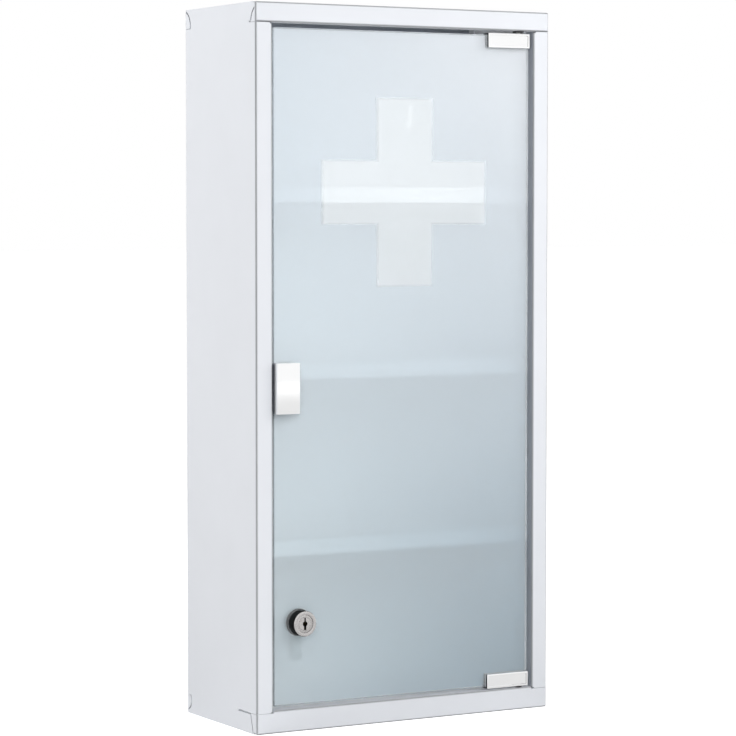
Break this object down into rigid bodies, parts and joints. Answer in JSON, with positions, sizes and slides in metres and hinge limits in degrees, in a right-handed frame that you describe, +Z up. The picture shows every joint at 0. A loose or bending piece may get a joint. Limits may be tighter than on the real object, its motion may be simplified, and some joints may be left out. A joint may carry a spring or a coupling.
{
  "type": "lockable wall medicine cabinet",
  "caption": "Tall white sheet-steel wall cabinet with shelves behind a frosted glass door that has a clear cross window, a clip handle, pivot hinges and a cam lock.",
  "frame": {"origin": "centre of the back panel's face, which lies on the wall", "axes": "+X to the right as seen from the front, +Y into the wall, +Z up; the door faces -Y"},
  "size_m": [0.3, 0.1447, 0.635],
  "materials": {
    "case_paint": "white powder coat, satin with a fine orange peel",
    "shelf_paint": "white powder coat, satin",
    "clear_glass": "clear float glass with a faint green edge",
    "frosting": "satin frosted film",
    "chrome": "bright polished chrome",
    "nickel": "satin nickel plate",
    "steel": "zinc-plated steel",
    "brass": "stamped brass",
    "rubber": "matt black rubber",
    "black_nylon": "moulded black nylon",
    "white_plastic": "moulded white plastic",
    "magnet": "pressed dark ferrite"
  },
  "bodies": {
    "cabinet": {"left_side_panel": "case_paint", "right_side_panel": "case_paint", "top_panel": "case_paint", "bottom_panel": "case_paint", "back_panel": "case_paint", "shelf_upper": "shelf_paint", "shelf_middle": "shelf_paint", "shelf_lower": "shelf_paint", "hinge_bush_top": "black_nylon", "hinge_bush_bottom": "black_nylon", "catch_bracket": "case_paint", "catch_holder": "white_plastic", "catch_magnet": "magnet", "catch_screws": "steel"},
    "door": {"door_glass": "clear_glass", "frosted_film": "frosting", "handle_clip": "chrome", "handle_pad": "rubber", "handle_screws": "steel", "hinge_clamp_top": "chrome", "hinge_clamp_bottom": "chrome", "hinge_pads_top": "rubber", "hinge_pads_bottom": "rubber", "hinge_screws_top": "steel", "hinge_screws_bottom": "steel", "hinge_pin_top": "steel", "hinge_pin_bottom": "steel", "lock_housing": "nickel", "lock_front_washer": "rubber", "lock_rear_washer": "rubber", "lock_nut": "steel"},
    "lock_core": {"lock_plug": "nickel", "lock_wafers": "brass", "lock_cam": "steel", "lock_cam_screw": "steel"}
  },
  "joints": [
    {"name": "door_hinge", "type": "hinge", "parent": "cabinet", "child": "door", "pos_m": [0.1205, -0.1325, 0], "axis": [0, 0, 1], "range_deg": [0, 110]},
    {"name": "lock_turn", "type": "hinge", "parent": "door", "child": "lock_core", "pos_m": [-0.1055, -0.1355, -0.2222], "axis": [0, 1, 0], "range_deg": [0, 90]}
  ]
}
